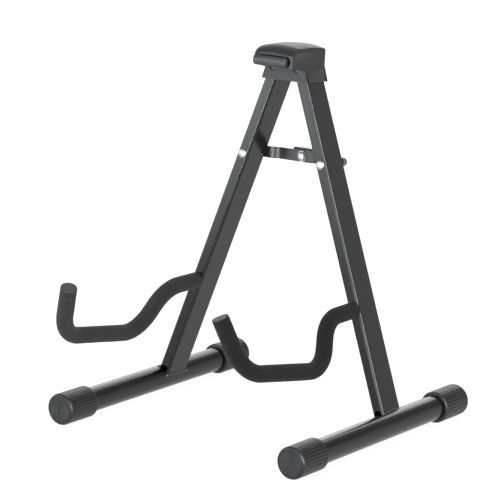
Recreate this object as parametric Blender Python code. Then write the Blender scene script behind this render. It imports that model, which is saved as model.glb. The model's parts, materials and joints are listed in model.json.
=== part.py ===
"""A folding A-frame guitar stand, open and empty. Metres, +Z up, the guitar's side faces -Y.

Two rectangular legs hang from bolts in a moulded head and lean back together. Each leg stands on a round
foot tube and carries a bent, foam-covered cradle rod. A two-link brace behind the legs locks them apart.
Sides are named as seen from the front: left is -X and right is +X.

Three kinds of frame place the pieces. The plane frame has its origin between the two leg pivots, its Z up
the leaning plane of the legs and its Y out of that plane's back. A leg frame has its origin on the leg's
pivot and its Z up the leg. A link frame has its origin on the link's pivot and its X along the link.
"""

import math

import bmesh
import bpy
from mathutils import Matrix, Vector

MM = 0.001
GAP = 0.3 * MM  # clearance between pieces that touch
SIDES = {"left": -1, "right": 1}

# The A-frame
FRAME_LEAN = math.radians(3.36)  # the legs' plane leans back
LEG_HALF_ANGLE = math.radians(19.94)  # each leg from the middle, in that plane
PIVOT_HALF_SPACING = 14.5 * MM
PIVOT_TO_FOOT = 359.9 * MM  # down the leg, from its pivot to the height of the foot tube's axis
STAND_Y = 51.5 * MM  # where the legs reach that height, so that the whole stand is centred on the origin

LEG_WIDTH = 12.6 * MM
LEG_DEPTH = 31.5 * MM
LEG_WALL = 1.5 * MM
LEG_CORNER_RADIUS = 2.6 * MM
LEG_ABOVE_PIVOT = 9.5 * MM
LEG_END_ABOVE_FOOT = 6.0 * MM  # the leg's end is coped over the foot tube
NOTCH_BELOW_PIVOT = 349.4 * MM
NOTCH_RADIUS = 4.2 * MM

FOOT_TUBE_RADIUS = 12.5 * MM
FOOT_TUBE_WALL = 1.5 * MM
FOOT_OUTSET = 3.8 * MM  # the foot tube's axis lies a little outside the leg's
FOOT_AHEAD = 174.0 * MM  # from the leg to the end of the front cap
FOOT_BEHIND = {"left": 124.8 * MM, "right": 116.8 * MM}

CAP_RADIUS = 16.0 * MM
CAP_LENGTH = 42.0 * MM
CAP_END_WALL = 4.0 * MM
CAP_RIBS = 30
CAP_GROOVE_DEPTH = 0.7 * MM

# The cradle rod, in the plane of its leg: (ahead of the leg's front face, above the foot tube's axis)
CRADLE_ROD_RADIUS = 4.0 * MM
FOAM_RADIUS = 8.5 * MM
CRADLE_CORNERS = [(0, 116.2), (48.9, 113.5), (73.7, 65.8), (196.2, 80.1), (212.1, 136.7)]
CRADLE_BEND_RADII = [35.0, 33.0, 38.5]
CRADLE_TIP_THICKNESS = 1.6 * MM

# The head, in the plane frame
HEAD_HALF_WIDTH = 23.3 * MM
HEAD_FRONT = -40.2 * MM
HEAD_BACK = 18.0 * MM
HEAD_EDGE_TOP = 21.6 * MM
HEAD_CROWN = 3.0 * MM
HEAD_NOSE_BULGE = 1.8 * MM  # the front stands out in the middle
NOSE_START = 14.2 * MM  # where the upright front turns into the rounded nose
NOSE_ARCH = 1.9 * MM
NOSE_LENGTH = 16.0 * MM
HEAD_LIP_BOTTOM = 2.6 * MM
HEAD_WALL = 1.8 * MM
SKIRT_BOTTOM = -12.6 * MM
SKIRT_HALF_WIDTH_BOTTOM = 27.7 * MM

BUMPER_LEFT = -21.6 * MM
BUMPER_RIGHT = 18.0 * MM
BUMPER_FRONT = -44.4 * MM
BUMPER_BACK = -31.5 * MM
BUMPER_BOTTOM = 3.2 * MM
BUMPER_TOP = 12.9 * MM
BUMPER_CLEARANCE = 0.4 * MM
RECESS_LEFT = BUMPER_LEFT - BUMPER_CLEARANCE
RECESS_RIGHT = 20.8 * MM  # a finger's gap is left beside the bumper's right end

# Brace
BRACE_FROM_PIVOT = 97.2 * MM  # down the leg, from its pivot to the brace bolt
LINK_HALF_HEIGHT = 5.9 * MM
LINK_THICKNESS = 2.0 * MM
LEFT_LINK_SETBACK = 4.0 * MM  # how far each link steps back between its leg and the middle
RIGHT_LINK_SETBACK = 6.4 * MM
BOLT_RADIUS = 2.5 * MM
HOLE_RADIUS = BOLT_RADIUS + GAP
SLEEVE_RADIUS = 4.0 * MM
DOME_RADIUS = 4.75 * MM
DOME_HEIGHT = 2.6 * MM

LEG_BACK = LEG_DEPTH / 2
LINK_FRONT = LEG_BACK + 0.4 * MM
NUT_FRONT = LINK_FRONT + LINK_THICKNESS + 1.6 * MM


# Frames


def plane_frame():
    rise = PIVOT_TO_FOOT * math.cos(LEG_HALF_ANGLE)
    up_the_plane = Vector((0, math.sin(FRAME_LEAN), math.cos(FRAME_LEAN)))
    origin = Vector((0, STAND_Y, CAP_RADIUS)) + rise * up_the_plane
    return Matrix.Translation(origin) @ Matrix.Rotation(-FRAME_LEAN, 4, "X")


def leg_frame(side):
    pivot = Matrix.Translation((side * PIVOT_HALF_SPACING, 0, 0))
    return plane_frame() @ pivot @ Matrix.Rotation(-side * LEG_HALF_ANGLE, 4, "Y")


def brace_bolt_place(side):
    """The brace bolt's axis crosses the middle of the leg here, in the plane frame."""
    out = PIVOT_HALF_SPACING + BRACE_FROM_PIVOT * math.sin(LEG_HALF_ANGLE)
    down = BRACE_FROM_PIVOT * math.cos(LEG_HALF_ANGLE)
    return Vector((side * out, 0, -down))


def foot_axis_x():
    return PIVOT_HALF_SPACING + PIVOT_TO_FOOT * math.sin(LEG_HALF_ANGLE) + FOOT_OUTSET


def add_frame(name, matrix, parent=None):
    empty = bpy.data.objects.new(name, None)
    empty.empty_display_size = 0.02
    bpy.context.scene.collection.objects.link(empty)
    attach(empty, parent, matrix)
    return empty


def attach(obj, parent, matrix):
    if parent is not None:
        obj.parent = parent
        bpy.context.view_layer.update()
        obj.matrix_parent_inverse = parent.matrix_world.inverted()
    obj.matrix_world = matrix


# Materials


def material(name, color, roughness, metallic=0.0):
    made = bpy.data.materials.new(name)
    made.use_nodes = True
    shader = made.node_tree.nodes["Principled BSDF"]
    shader.inputs["Base Color"].default_value = (*color, 1)
    shader.inputs["Roughness"].default_value = roughness
    shader.inputs["Metallic"].default_value = metallic
    return made


def make_materials():
    return {
        "leg_paint": material("leg_paint", (0.05, 0.05, 0.055), 0.45),
        "foot_paint": material("foot_paint", (0.035, 0.035, 0.04), 0.3),
        "foam": material("foam", (0.02, 0.02, 0.022), 0.95),
        "cap_rubber": material("cap_rubber", (0.04, 0.04, 0.042), 0.7),
        "head_plastic": material("head_plastic", (0.07, 0.07, 0.072), 0.55),
        "bumper_rubber": material("bumper_rubber", (0.06, 0.06, 0.065), 0.7),
        "zinc": material("zinc", (0.75, 0.76, 0.78), 0.25, 1.0),
        "black_steel": material("black_steel", (0.03, 0.03, 0.032), 0.4, 0.6),
        "steel": material("steel", (0.5, 0.5, 0.5), 0.4, 1.0),
    }


# Meshes


def finish_mesh(name, bm, surface, parent, matrix, smooth_degrees=35):
    bmesh.ops.recalc_face_normals(bm, faces=bm.faces)
    mesh = bpy.data.meshes.new(name)
    bm.to_mesh(mesh)
    bm.free()
    mesh.materials.append(surface)
    mesh.shade_smooth()
    mesh.set_sharp_from_angle(angle=math.radians(smooth_degrees))
    obj = bpy.data.objects.new(name, mesh)
    bpy.context.scene.collection.objects.link(obj)
    attach(obj, parent, matrix)
    return obj


def loft(rings, wrap=False):
    """Skin rings of equal length. The ends are capped, or with wrap the last ring joins the first."""
    bm = bmesh.new()
    rows = [[bm.verts.new(point) for point in ring] for ring in rings]
    pairs = list(zip(rows, rows[1:]))
    if wrap:
        pairs.append((rows[-1], rows[0]))
    for low, high in pairs:
        for i in range(len(low)):
            j = (i + 1) % len(low)
            bm.faces.new((low[i], low[j], high[j], high[i]))
    if not wrap:
        bm.faces.new(rows[0])
        bm.faces.new(rows[-1])
    return bm


def circle(radius, sides, y):
    """A ring about the Y axis, with a flat facing straight down."""
    turns = [math.tau * (i + 0.5) / sides for i in range(sides)]
    return [Vector((radius * math.sin(t), y, radius * math.cos(t))) for t in turns]


def turned(profile, sides, wrap=False):
    """A body of revolution about the Y axis, from (radius, y) points."""
    return loft([circle(radius, sides, y) for radius, y in profile], wrap)


def rounded_rectangle(half_x, half_y, radius, z, steps=3):
    ring = []
    for quarter, (sx, sy) in enumerate([(1, 1), (-1, 1), (-1, -1), (1, -1)]):
        for step in range(steps + 1):
            angle = math.pi / 2 * (quarter + step / steps)
            x = sx * (half_x - radius) + radius * math.cos(angle)
            y = sy * (half_y - radius) + radius * math.sin(angle)
            ring.append(Vector((x, y, z)))
    return ring


def box(low, high):
    x0, y0, z0 = low
    x1, y1, z1 = high
    return loft([[(x0, y0, z), (x1, y0, z), (x1, y1, z), (x0, y1, z)] for z in (z0, z1)])


def boolean(obj, name, bm, operation="DIFFERENCE", matrix=None):
    """Cut or join with a hidden tool body."""
    tool = finish_mesh(name, bm, obj.data.materials[0], obj.parent, matrix or obj.matrix_world)
    tool.hide_render = True
    tool.display_type = "WIRE"
    modifier = obj.modifiers.new(name, "BOOLEAN")
    modifier.operation = operation
    modifier.object = tool
    modifier.solver = "EXACT"


def filleted_path(corners, radii, steps=5):
    """A planar path of straight runs joined by arcs, as a list of 2-D points."""
    corners = [Vector(corner) for corner in corners]
    path = [corners[0]]
    for before, corner, after, radius in zip(corners, corners[1:], corners[2:], radii):
        arriving = (corner - before).normalized()
        leaving = (after - corner).normalized()
        turn = arriving.angle(leaving)
        sense = math.copysign(1, arriving.x * leaving.y - arriving.y * leaving.x)
        start = corner - arriving * radius * math.tan(turn / 2)
        to_centre = Vector((-arriving.y, arriving.x)) * sense * radius
        for step in range(steps + 1):
            swing = Matrix.Rotation(sense * turn * step / steps, 2)
            path.append(start + to_centre - swing @ to_centre)
    path.append(corners[-1])
    return path


def trimmed(path, start, end):
    """Shorten the first and last straight runs."""
    first = (path[1] - path[0]).normalized() * start
    last = (path[-2] - path[-1]).normalized() * end
    return [path[0] + first, *path[1:-1], path[-1] + last]


def path_rings(path, radius, sides):
    """Circles square to a path that runs in the YZ plane."""
    rings = []
    for i, point in enumerate(path):
        along = (path[min(i + 1, len(path) - 1)] - path[max(i - 1, 0)]).normalized()
        across = Vector((-along.y, along.x))
        ring = []
        for side in range(sides):
            angle = math.tau * side / sides
            offset = across * radius * math.sin(angle)
            ring.append((radius * math.cos(angle), point.x + offset.x, point.y + offset.y))
        rings.append(ring)
    return rings


# Head


def head_profile(x, shrink=0.0):
    """The head's outline at one station across it, as (y, z) points, front bottom first."""
    across = x / HEAD_HALF_WIDTH
    front = HEAD_FRONT + HEAD_NOSE_BULGE * across**4 + shrink
    back = HEAD_BACK - shrink
    top = HEAD_EDGE_TOP + HEAD_CROWN * (1 - across**2) - shrink
    brow = top - 0.6 * MM  # the top falls a little towards the front, and more towards the back
    heel, heel_radius = top - 1.5 * MM, 2.5 * MM
    nose_height = brow + shrink - NOSE_START - NOSE_ARCH * (1 - across**2)
    points = [(front, HEAD_LIP_BOTTOM + shrink)]
    for step in range(6):
        angle = math.pi / 2 * step / 5
        y = front + NOSE_LENGTH * (1 - math.cos(angle))
        points.append((y, brow - nose_height * (1 - math.sin(angle))))
    points += [(-18.0 * MM, top - 0.1 * MM), (-9.0 * MM, top), (2.0 * MM, top - 0.4 * MM)]
    for step in range(4):
        angle = math.pi / 2 * step / 3
        y = back - heel_radius * (1 - math.sin(angle))
        points.append((y, heel - heel_radius * (1 - math.cos(angle))))
    points += [(back, -1.0 * MM + shrink), (-HEAD_BACK, -1.0 * MM + shrink)]
    return points


def head_stations():
    edge = HEAD_HALF_WIDTH
    bevel = 0.8 * MM
    inner = [0.0, 0.45 * edge, 0.8 * edge]
    stations = [(x, 0.0) for x in inner] + [(edge - bevel, 0.0), (edge, bevel)]
    mirrored = [(-x, shrink) for x, shrink in reversed(stations) if x > 0]
    return mirrored + stations


def skirt(half_width_top, half_width_bottom, half_depth, top, bottom):
    """A box that widens downwards with the legs."""
    rings = []
    for z, half_width in ((top, half_width_top), (bottom, half_width_bottom)):
        ring = [(half_width, half_depth), (-half_width, half_depth), (-half_width, -half_depth)]
        ring.append((half_width, -half_depth))
        rings.append([(x, y, z) for x, y in ring])
    return loft(rings)


def make_head_shell(materials, plane):
    """A hollow cap over both leg tops, with a skirt that hides where the legs part."""
    frame = plane.matrix_world
    rings = [[(x, y, z) for y, z in head_profile(x, shrink)] for x, shrink in head_stations()]
    shell = finish_mesh("head_shell", loft(rings), materials["head_plastic"], plane, frame)
    top_width = HEAD_HALF_WIDTH - 0.1 * MM
    flare = skirt(top_width, SKIRT_HALF_WIDTH_BOTTOM, HEAD_BACK, 2.0 * MM, SKIRT_BOTTOM)
    boolean(shell, "skirt_shape", flare, "UNION")

    inner_top = HEAD_HALF_WIDTH - HEAD_WALL
    depth = LEG_BACK + 0.4 * MM
    room = skirt(inner_top, inner_top, depth, 17.0 * MM, 1.0 * MM)
    boolean(shell, "leg_room_shape", room)
    reach = 1.0 * MM  # past the skirt's lower edge
    slope = (SKIRT_HALF_WIDTH_BOTTOM - top_width) / (2.0 * MM - SKIRT_BOTTOM)
    lower = SKIRT_HALF_WIDTH_BOTTOM - 1.5 * MM + slope * reach
    mouth = skirt(inner_top, lower, depth, 1.2 * MM, SKIRT_BOTTOM - reach)
    boolean(shell, "skirt_mouth_shape", mouth)

    boolean(shell, "bumper_recess_shape", bumper_recess())
    wall_front = BUMPER_BACK + BUMPER_CLEARANCE + HEAD_WALL
    hollow = box((-inner_top, wall_front, -6.0 * MM), (inner_top, -HEAD_BACK - 0.1 * MM, 18.0 * MM))
    boolean(shell, "front_hollow_shape", hollow)
    for name, side in SIDES.items():
        for end, towards in (("front", -1), ("back", 1)):
            slit = corner_slit(side, towards * depth, towards, SKIRT_BOTTOM - reach)
            boolean(shell, f"{name}_{end}_slit_shape", slit)
        at = frame @ Matrix.Translation((side * PIVOT_HALF_SPACING, 0, 0))
        boolean(shell, f"{name}_pivot_hole_shape", pivot_hole(), matrix=at)


def bumper_recess():
    """The bumper's room in the head's front, with an arched roof."""
    arch, ahead = 0.3 * MM, 2 * HEAD_FRONT
    low, high = BUMPER_BOTTOM - BUMPER_CLEARANCE, BUMPER_TOP + 0.6 * MM
    middle, half_length = (RECESS_LEFT + RECESS_RIGHT) / 2, (RECESS_RIGHT - RECESS_LEFT) / 2
    back = BUMPER_BACK + BUMPER_CLEARANCE
    rings = []
    for step in range(9):
        across = step / 4 - 1
        x = middle + across * half_length
        roof = high + arch * (1 - across**2)
        rings.append([(x, ahead, low), (x, back, low), (x, back, roof), (x, ahead, roof)])
    return loft(rings)


def corner_slit(side, plate, towards, bottom):
    """A slit that parts the skirt's side from its front or back plate, wider at the bottom."""
    top, wide, narrow = -1.5 * MM, 2.0 * MM, 0.8 * MM
    x0, x1 = side * 20.0 * MM, side * 32.0 * MM
    rings = []
    for z, width in ((bottom, wide), (top, narrow)):
        y = plate - towards * width
        rings.append([(x0, plate, z), (x1, plate, z), (x1, y, z), (x0, y, z)])
    return loft(rings)


def pivot_hole():
    """A bolt hole right through the head, with a seat for the bolt's head at the front."""
    seat_radius, shoulder, reach = 3.9 * MM, 1.0 * MM - HEAD_BACK, 2.0 * MM
    profile = [(seat_radius, -HEAD_BACK - reach), (seat_radius, shoulder)]
    profile += [(HOLE_RADIUS, shoulder), (HOLE_RADIUS, HEAD_BACK + reach)]
    return turned(profile, 20)


def make_bumper(materials, plane):
    """A rubber bar with soft front edges and rounded ends."""
    low, high = BUMPER_BOTTOM, BUMPER_TOP
    soft, end_radius = 3.2 * MM, 3.0 * MM
    curve = []
    for step in range(5):
        turn = math.pi / 2 * step / 4
        curve.append((end_radius * (1 - math.cos(turn)), end_radius * (1 - math.sin(turn))))
    stations = [(BUMPER_LEFT + inwards, setback) for inwards, setback in curve]
    stations += [(BUMPER_RIGHT - inwards, setback) for inwards, setback in reversed(curve)]
    rings = []
    for x, setback in stations:
        nose = BUMPER_FRONT + setback
        outline = [(BUMPER_BACK, low), (nose + soft, low), (nose + 0.3 * soft, low + 0.3 * soft)]
        outline.append((nose, low + soft))
        outline += [(y, low + high - z) for y, z in reversed(outline)]
        rings.append([(x, y, z) for y, z in outline])
    return finish_mesh("neck_bumper", loft(rings), materials["bumper_rubber"], plane, plane.matrix_world)


def make_pivot_hardware(materials, plane, name, side):
    """A countersunk bolt through the head and the leg, and the nut behind the head."""
    at = plane.matrix_world @ Matrix.Translation((side * PIVOT_HALF_SPACING, 0, 0))
    head_face = -HEAD_BACK + 0.1 * MM
    nut_front = HEAD_BACK + GAP
    nut_back = nut_front + 4.0 * MM
    bolt = [(0.6 * MM, head_face + 0.8 * MM), (1.4 * MM, head_face), (3.5 * MM, head_face)]
    bolt += [(3.5 * MM, head_face + 0.7 * MM), (BOLT_RADIUS, head_face + 0.7 * MM)]
    bolt += [(BOLT_RADIUS, nut_back - 0.4 * MM), (0.8 * BOLT_RADIUS, nut_back + 0.4 * MM)]
    finish_mesh(f"{name}_pivot_bolt", turned(bolt, 16), materials["black_steel"], plane, at)
    finish_mesh(f"{name}_pivot_nut", hex_nut(nut_front, nut_back), materials["zinc"], plane, at)


def hex_nut(front, back):
    """A hexagon with chamfered corners, bored with a hexagon that clears the bolt."""
    corner, bore, chamfer = 4.6 * MM, 3.3 * MM, 0.5 * MM
    profile = [(bore, front), (corner, front), (corner, back - chamfer), (corner - chamfer, back)]
    profile.append((bore, back))
    return turned(profile, 6, wrap=True)


# Legs


def leg_tube_mesh():
    low = -PIVOT_TO_FOOT + LEG_END_ABOVE_FOOT
    rings = []
    for wall, heights in ((0.0, (low, LEG_ABOVE_PIVOT)), (LEG_WALL, (LEG_ABOVE_PIVOT, low))):
        half_x, half_y = LEG_WIDTH / 2 - wall, LEG_DEPTH / 2 - wall
        rings += [rounded_rectangle(half_x, half_y, LEG_CORNER_RADIUS - wall, z) for z in heights]
    return loft(rings, wrap=True)


def foot_frame(side):
    """On the foot tube's axis, level with the leg. Y runs along the tube."""
    return Matrix.Translation((side * foot_axis_x(), STAND_Y, CAP_RADIUS))


def make_leg(materials, frame_empty, name, side):
    at = frame_empty.matrix_world
    tube = finish_mesh(f"{name}_leg_tube", leg_tube_mesh(), materials["leg_paint"], frame_empty, at)
    cope = turned([(FOOT_TUBE_RADIUS + GAP, -0.06), (FOOT_TUBE_RADIUS + GAP, 0.06)], 24)
    boolean(tube, f"{name}_cope_shape", cope, matrix=foot_frame(side))
    notch = turned([(NOTCH_RADIUS, -LEG_DEPTH), (NOTCH_RADIUS, LEG_DEPTH)], 20)
    notch_place = at @ Matrix.Translation((0, 0, -NOTCH_BELOW_PIVOT))
    boolean(tube, f"{name}_notch_shape", notch, matrix=notch_place)
    for label, down in (("pivot", 0.0), ("brace", BRACE_FROM_PIVOT)):
        place = at @ Matrix.Translation((0, 0, -down))
        hole = turned([(SLEEVE_RADIUS + GAP, -LEG_DEPTH), (SLEEVE_RADIUS + GAP, LEG_DEPTH)], 16)
        boolean(tube, f"{name}_{label}_hole_shape", hole, matrix=place)
        half = LEG_DEPTH / 2 - 0.1 * MM
        profile = [(HOLE_RADIUS, -half), (SLEEVE_RADIUS, -half), (SLEEVE_RADIUS, half), (HOLE_RADIUS, half)]
        sleeve = turned(profile, 16, wrap=True)
        finish_mesh(f"{name}_{label}_sleeve", sleeve, materials["steel"], frame_empty, place)


def make_foot(materials, frame_empty, name, side):
    at = foot_frame(side)
    inset = CAP_END_WALL + GAP
    front, back = -FOOT_AHEAD + inset, FOOT_BEHIND[name] - inset
    bore = FOOT_TUBE_RADIUS - FOOT_TUBE_WALL
    profile = [(FOOT_TUBE_RADIUS, front), (FOOT_TUBE_RADIUS, back), (bore, back), (bore, front)]
    tube = turned(profile, 24, wrap=True)
    finish_mesh(f"{name}_foot_tube", tube, materials["foot_paint"], frame_empty, at)
    make_cap(materials, frame_empty, f"{name}_front_cap", at, -FOOT_AHEAD, -1)
    make_cap(materials, frame_empty, f"{name}_rear_cap", at, FOOT_BEHIND[name], 1)


def ribbed_ring(radius, groove_depth, y):
    """Each rib has a flat land, and one land faces straight down."""
    ring = []
    pitch = math.tau / CAP_RIBS
    land = 0.3 * pitch
    for rib in range(CAP_RIBS):
        middle = rib * pitch
        crest = radius / math.cos(land)
        for turn, reach in ((-land, crest), (land, crest), (pitch / 2, radius - groove_depth)):
            ring.append((reach * math.sin(middle + turn), y, -reach * math.cos(middle + turn)))
    return ring


def make_cap(materials, frame_empty, name, at, end, outwards):
    """A ribbed rubber cap whose outer end lies at the given place along the foot tube."""
    stations = [(CAP_LENGTH, 0.9 * MM, 0.0), (CAP_LENGTH - 0.9 * MM, 0.0, CAP_GROOVE_DEPTH)]
    stations += [(1.8 * MM, 0.0, CAP_GROOVE_DEPTH), (0.0, 1.8 * MM, 0.0)]
    rings = [ribbed_ring(CAP_RADIUS - inset, depth, end - outwards * s) for s, inset, depth in stations]
    cap = finish_mesh(name, loft(rings), materials["cap_rubber"], frame_empty, at)
    mouth = end - outwards * (CAP_LENGTH + 1.0 * MM)
    floor = end - outwards * CAP_END_WALL
    radius = FOOT_TUBE_RADIUS + GAP
    boolean(cap, f"{name}_socket_shape", turned([(radius, mouth), (radius, floor)], 24), matrix=at)


def cradle_path():
    """The rod's centreline in the leg frame, as (Y, Z) points."""
    path = filleted_path(CRADLE_CORNERS, CRADLE_BEND_RADII)
    return [Vector((-LEG_DEPTH / 2 - ahead * MM, up * MM - PIVOT_TO_FOOT)) for ahead, up in path]


def make_cradle(materials, frame_empty, name):
    at = frame_empty.matrix_world
    path = cradle_path()
    rod = loft(path_rings(trimmed(path, GAP, 3.0 * MM), CRADLE_ROD_RADIUS, 8))
    finish_mesh(f"{name}_cradle_rod", rod, materials["steel"], frame_empty, at)
    sleeve_path = trimmed(path, 2 * GAP, CRADLE_TIP_THICKNESS + GAP)
    outside = path_rings(sleeve_path, FOAM_RADIUS, 12)
    bore = path_rings(sleeve_path, CRADLE_ROD_RADIUS + 2 * GAP, 12)
    foam = loft(outside + bore[::-1], wrap=True)
    finish_mesh(f"{name}_cradle_foam", foam, materials["foam"], frame_empty, at)
    tip, inward = path[-1], (path[-2] - path[-1]).normalized()
    rings = []
    for radius, back in ((7.4, 1.6), (8.1, 1.3), (8.1, 0.6), (7.0, 0.0)):
        point = tip + inward * back * MM
        rings += path_rings([point, point - inward * MM], radius * MM, 14)[:1]
    finish_mesh(f"{name}_cradle_tip", loft(rings), materials["cap_rubber"], frame_empty, at)


# Brace


def make_brace_bolt(materials, frame_empty, name, shank_end):
    """A dome-headed bolt that enters the leg from the front."""
    at = frame_empty.matrix_world @ Matrix.Translation((0, 0, -BRACE_FROM_PIVOT))
    seat = -LEG_BACK - GAP
    profile = dome_profile(seat) + [(BOLT_RADIUS, seat), (BOLT_RADIUS, shank_end)]
    finish_mesh(f"{name}_brace_bolt", turned(profile, 16), materials["zinc"], frame_empty, at)


def dome_profile(seat):
    """A dome head that rises to the front from its seat."""
    rim_height = 0.25 * DOME_HEIGHT
    points = []
    for step in range(4):
        angle = math.pi / 2 * (0.12 + 0.88 * step / 3)  # stops short of the point, with a small flat
        rise = rim_height + (DOME_HEIGHT - rim_height) * math.cos(angle)
        points.append((DOME_RADIUS * math.sin(angle), seat - rise))
    points.append((DOME_RADIUS, seat))
    return points


def make_brace_end(materials, parent, name, at, stub):
    """The washer and the domed nut behind a link. With stub, the nut carries the bolt's threaded end."""
    front = LINK_FRONT + LINK_THICKNESS + GAP
    washer = [(HOLE_RADIUS, front), (5.6 * MM, front), (5.6 * MM, front + MM), (HOLE_RADIUS, front + MM)]
    finish_mesh(f"{name}_brace_washer", turned(washer, 16, wrap=True), materials["zinc"], parent, at)
    rim = 4.7 * MM
    dome = [(rim, NUT_FRONT), (rim, NUT_FRONT + 3.4 * MM), (0.85 * rim, NUT_FRONT + 5.4 * MM)]
    dome.append((0.45 * rim, NUT_FRONT + 6.8 * MM))
    if stub:
        profile = [(BOLT_RADIUS, LINK_FRONT + 0.2 * MM), (BOLT_RADIUS, NUT_FRONT)] + dome
    else:
        depth = NUT_FRONT + 4.6 * MM
        profile = [(0.5 * MM, depth), (HOLE_RADIUS, depth), (HOLE_RADIUS, NUT_FRONT)] + dome
    finish_mesh(f"{name}_brace_nut", turned(profile, 16), materials["black_steel"], parent, at)


def link_stations(length, beyond):
    """Points along a link, from its leg's bolt to past the middle, with the strap's half height at each."""
    h = LINK_HALF_HEIGHT
    turns = [math.pi / 2 * step / 4 for step in range(1, 5)]
    start = [(-h * math.cos(turn), h * math.sin(turn)) for turn in turns[:-1]]
    start.insert(0, (-h * math.cos(0.1), h * math.sin(0.1)))
    middle = [(0.0, h), (11.0 * MM, h), (21.0 * MM, h), (length, h)]
    end = [(length + beyond - h + h * math.sin(turn), h * math.cos(turn)) for turn in turns[:-1]]
    end.append((length + beyond - h + h * math.cos(0.1), h * math.sin(0.1)))
    if beyond > h:
        end.insert(0, (length + beyond - h, h))
    return start + middle + end


def link_mesh(length, beyond, setback, flip):
    """A flat strap that steps back between its leg and the middle. With flip it runs towards -X."""
    rings = []
    for x, half in link_stations(length, beyond):
        share = min(max((x - 11.0 * MM) / (10.0 * MM), 0.0), 1.0)
        front = LINK_FRONT + setback * share
        back = front + LINK_THICKNESS
        across = -x if flip else x
        ring = [(across, front, -half), (across, back, -half), (across, back, half)]
        rings.append(ring + [(across, front, half)])
    return loft(rings)


def make_link(materials, parent, name, at, setback, flip, beyond):
    length = abs(brace_bolt_place(1).x)
    link = finish_mesh(name, link_mesh(length, beyond, setback, flip), materials["black_steel"], parent, at)
    for label, x in (("leg_hole", 0.0), ("middle_hole", -length if flip else length)):
        place = at @ Matrix.Translation((x, 0, 0))
        hole = turned([(HOLE_RADIUS, 0.0), (HOLE_RADIUS, 0.05)], 16)
        boolean(link, f"{name}_{label}_shape", hole, matrix=place)
    return link


def make_finger_tab(link, at):
    """The tab stands on the left link's top edge and folds back over the right link: it stops the brace."""
    length = abs(brace_bolt_place(1).x)
    x0, x1 = length - 11.0 * MM, length + 11.0 * MM
    front = LINK_FRONT + LEFT_LINK_SETBACK
    low, high = LINK_HALF_HEIGHT + 0.5 * MM, LINK_HALF_HEIGHT + 2.5 * MM
    depth = 12.0 * MM
    nose = 2.0 * MM
    outline = [(x0, front), (x1, front), (x1, front + depth), (x0 + 2 * nose, front + depth)]
    outline.append((x0, front + depth - 2 * nose))
    shelf = loft([[(x, y, z) for x, y in outline] for z in (low, high)])
    boolean(link, "tab_shelf_shape", shelf, "UNION", at)
    web = box((x0, front, LINK_HALF_HEIGHT - 1.5 * MM), (x1, front + LINK_THICKNESS, high - 0.3 * MM))
    boolean(link, "tab_web_shape", web, "UNION", at)


def make_centre_rivet(materials, parent, at):
    """The rivet and its washer join the two links in the middle."""
    face = LINK_FRONT + LEFT_LINK_SETBACK - GAP
    rim, thickness = 5.5 * MM, 0.6 * MM
    washer = [(HOLE_RADIUS, face - thickness), (rim, face - thickness), (rim, face), (HOLE_RADIUS, face)]
    finish_mesh("centre_washer", turned(washer, 16, wrap=True), materials["zinc"], parent, at)
    seat = face - thickness - GAP
    tail = LINK_FRONT + RIGHT_LINK_SETBACK + LINK_THICKNESS + GAP
    profile = dome_profile(seat) + [(BOLT_RADIUS, seat), (BOLT_RADIUS, tail), (4.2 * MM, tail)]
    profile += [(4.2 * MM, tail + 0.8 * MM), (2.0 * MM, tail + 1.6 * MM)]
    finish_mesh("centre_rivet", turned(profile, 16), materials["zinc"], parent, at)


def make_brace(materials, plane, legs):
    left_at = plane.matrix_world @ Matrix.Translation(brace_bolt_place(-1))
    right_at = plane.matrix_world @ Matrix.Translation(brace_bolt_place(1))
    middle_at = plane.matrix_world @ Matrix.Translation((0, 0, brace_bolt_place(1).z))
    left_frame = add_frame("left_link_frame", left_at, legs["left"])
    right_frame = add_frame("right_link_frame", middle_at, left_frame)
    link = make_link(materials, left_frame, "left_link", left_at, LEFT_LINK_SETBACK, False, 16.5 * MM)
    make_finger_tab(link, left_at)
    make_link(materials, right_frame, "right_link", right_at, RIGHT_LINK_SETBACK, True, LINK_HALF_HEIGHT)
    make_centre_rivet(materials, left_frame, middle_at)
    make_brace_bolt(materials, legs["left"], "left", NUT_FRONT + 4.2 * MM)
    make_brace_bolt(materials, legs["right"], "right", LEG_BACK - 0.2 * MM)
    make_brace_end(materials, legs["left"], "left", left_at, stub=False)
    make_brace_end(materials, right_frame, "right", right_at, stub=True)


def build():
    for obj in list(bpy.data.objects):
        bpy.data.objects.remove(obj, do_unlink=True)
    materials = make_materials()
    plane = add_frame("plane_frame", plane_frame())
    make_head_shell(materials, plane)
    make_bumper(materials, plane)
    legs = {}
    for name, side in SIDES.items():
        make_pivot_hardware(materials, plane, name, side)
        legs[name] = add_frame(f"{name}_leg_frame", leg_frame(side), plane)
        make_leg(materials, legs[name], name, side)
        make_foot(materials, legs[name], name, side)
        make_cradle(materials, legs[name], name)
    make_brace(materials, plane, legs)


build()
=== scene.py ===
"""Looks for a folding A-frame guitar stand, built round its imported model. Metres, +Z up, front is -Y.

The plane frame has its origin between the two leg pivots and its Z up the legs' leaning plane. A leg frame
has its origin on the leg's pivot and its Z up the leg. In both, Y runs out of the stand's back. Sides are
named as seen from the front: left is -X and right is +X.
"""

import json
import math
import random

import bmesh
import bpy
from mathutils import Matrix, Vector, noise


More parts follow.
